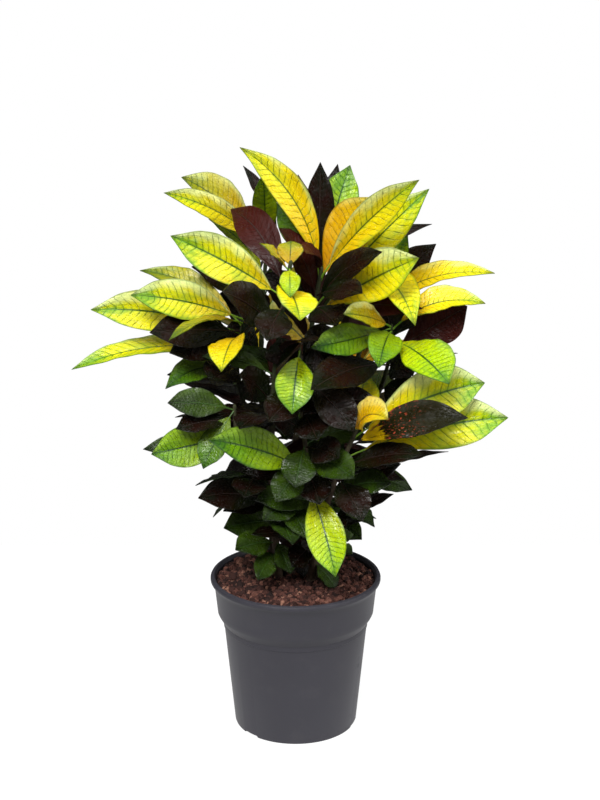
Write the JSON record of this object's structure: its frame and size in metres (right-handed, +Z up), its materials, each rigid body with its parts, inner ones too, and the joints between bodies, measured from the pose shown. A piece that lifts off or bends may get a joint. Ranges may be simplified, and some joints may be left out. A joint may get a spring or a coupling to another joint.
{
  "type": "potted croton",
  "caption": "Croton shrub with broad, gold, green and wine-dark leaves on several woody stems, growing in a round plastic nursery pot filled with lumpy soil.",
  "frame": {"origin": "middle of the flat underside of the pot, on the surface it stands on", "axes": "+Z up along the pot's axis; the plant's best side faces -Y; +X to the right of a viewer who faces +Y"},
  "size_m": [0.65, 0.4934, 0.93],
  "materials": {
    "pot": "injection-moulded dark grey plastic with a dull sheen",
    "soil": "coarse red-brown potting soil of lumps and fibres",
    "foliage": "waxy, leathery leaves, gold to dark plum, with green or red veins"
  },
  "bodies": {
    "root": {"pot": "pot", "soil": "soil", "stem_centre": "foliage", "stem_left_back": "foliage", "stem_left_front": "foliage", "stem_right_back": "foliage", "stem_right_front": "foliage", "stem_back_left": "foliage"}
  },
  "joints": []
}
